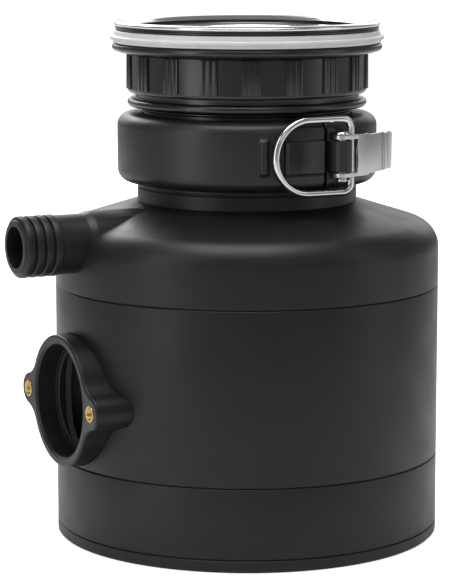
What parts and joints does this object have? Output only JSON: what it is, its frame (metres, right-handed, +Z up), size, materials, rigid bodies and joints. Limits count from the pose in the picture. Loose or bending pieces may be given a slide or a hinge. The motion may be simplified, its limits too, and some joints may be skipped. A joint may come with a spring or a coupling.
{
  "type": "kitchen garbage disposal",
  "caption": "Sink-mounted food waste grinder with a dark cylindrical body, hose barb, flanged discharge outlet and a latched clamp under a threaded sink flange.",
  "frame": {"origin": "centre of the flat underside of the base cap, on the body's axis", "axes": "+Z up along the body's axis to the sink flange, -X out of the discharge outlet and the dishwasher inlet"},
  "size_m": [0.192, 0.169, 0.2221],
  "materials": {
    "casing_plastic": "fine moulded texture, matte",
    "clamp_plastic": "matte",
    "nut_plastic": "semi-gloss",
    "black_rubber": "matte",
    "white_rubber": "satin",
    "polished_steel": "polished",
    "satin_steel": "satin",
    "inner_steel": "machined",
    "insert_brass": "machined",
    "copper": "satin",
    "carbon": "matte",
    "magnet_ferrite": "matte",
    "motor_zinc": "galvanised",
    "chamber_plastic": "matte",
    "liner_foam": "open-cell foam",
    "board_green": "satin",
    "trim_plastic": "satin",
    "reset_red": "gloss"
  },
  "bodies": {
    "root": {"sink_flange": "polished_steel", "threaded_sleeve": "nut_plastic", "flange_gasket": "black_rubber", "splash_guard": "black_rubber", "mount_cushion": "black_rubber", "clamp_body": "clamp_plastic", "clamp_hinge_pin": "satin_steel", "latch_pin": "satin_steel", "neck_ring": "casing_plastic", "upper_shell": "casing_plastic", "middle_shell": "casing_plastic", "lower_shell": "casing_plastic", "base_cap": "casing_plastic", "discharge_outlet": "casing_plastic", "outlet_inserts": "insert_brass", "grind_chamber": "chamber_plastic", "grind_ring": "inner_steel", "shaft_seal": "black_rubber", "drain_chamber": "chamber_plastic", "chamber_gasket": "black_rubber", "chamber_screws": "inner_steel", "sound_liner": "liner_foam", "motor_can": "motor_zinc", "field_magnets": "magnet_ferrite", "brush_holders": "insert_brass", "brushes": "carbon", "brush_springs": "inner_steel", "motor_top_plate": "motor_zinc", "motor_bottom_plate": "motor_zinc", "upper_bearing_outer": "inner_steel", "lower_bearing_outer": "inner_steel", "motor_pad": "black_rubber", "motor_screws": "inner_steel", "circuit_board": "board_green", "overload_protector": "trim_plastic", "cord_gland": "trim_plastic", "base_screws": "inner_steel"},
    "sink_stack": {"pressure_ring": "nut_plastic", "sink_gasket": "white_rubber"},
    "nut": {"mounting_nut": "nut_plastic"},
    "clamp_swing": {"clamp_arm": "clamp_plastic"},
    "lever": {"latch_lever": "satin_steel"},
    "bail": {"bail_ring": "polished_steel"},
    "rotor": {"motor_shaft": "inner_steel", "armature_core": "inner_steel", "armature_winding": "copper", "commutator": "copper", "turntable": "inner_steel", "impeller_pins": "inner_steel", "turntable_nut": "inner_steel", "upper_bearing_inner": "inner_steel", "lower_bearing_inner": "inner_steel"},
    "balls": {"upper_bearing_balls": "inner_steel", "lower_bearing_balls": "inner_steel"},
    "lug_1": {"impeller_1": "inner_steel"},
    "lug_2": {"impeller_2": "inner_steel"},
    "reset": {"reset_button": "reset_red"}
  },
  "joints": [
    {"name": "nut_turn", "type": "hinge", "parent": "sink_stack", "child": "nut", "pos_m": [0, 0, 0.197], "axis": [0, 0, 1], "range_deg": [0, 240]},
    {"name": "stack_travel", "type": "slide", "parent": "root", "child": "sink_stack", "axis": [0, 0, -1], "range_m": [0, 0.002]},
    {"name": "latch_turn", "type": "hinge", "parent": "root", "child": "lever", "pos_m": [0.0135, -0.05846, 0.16805], "axis": [0, 0, -1], "range_deg": [0, 130]},
    {"name": "bail_turn", "type": "hinge", "parent": "lever", "child": "bail", "pos_m": [0.01888, -0.05643, 0.16805], "axis": [0, 0, -1], "range_deg": [-169.1, 0]},
    {"name": "clamp_swing_out", "type": "hinge", "parent": "root", "child": "clamp_swing", "pos_m": [-0.00842, 0.05991, 0.16805], "axis": [0, 0, -1], "range_deg": [0, 5.86]},
    {"name": "rotor_spin", "type": "hinge", "parent": "root", "child": "rotor", "pos_m": [0, 0, 0.098], "axis": [0, 0, 1], "continuous": true},
    {"name": "ball_orbit", "type": "hinge", "parent": "root", "child": "balls", "pos_m": [0, 0, 0.05], "axis": [0, 0, 1], "continuous": true},
    {"name": "lug_1_swivel", "type": "hinge", "parent": "rotor", "child": "lug_1", "pos_m": [0.03759, 0.01368, 0.103], "axis": [0, 0, 1], "continuous": true},
    {"name": "lug_2_swivel", "type": "hinge", "parent": "rotor", "child": "lug_2", "pos_m": [-0.03759, -0.01368, 0.103], "axis": [0, 0, 1], "continuous": true},
    {"name": "reset_press", "type": "slide", "parent": "root", "child": "reset", "axis": [0, 0, 1], "range_m": [0, 0.0025], "stiffness_N_per_m": 400}
  ],
  "couplings": [
    {"joint": "stack_travel", "follows": "nut_turn", "m_per_rad": 0.00047746},
    {"joint": "bail_turn", "follows": "latch_turn", "ratio": -1.3},
    {"joint": "clamp_swing_out", "follows": "latch_turn", "ratio": 0.045},
    {"joint": "ball_orbit", "follows": "rotor_spin", "ratio": 0.38764}
  ]
}
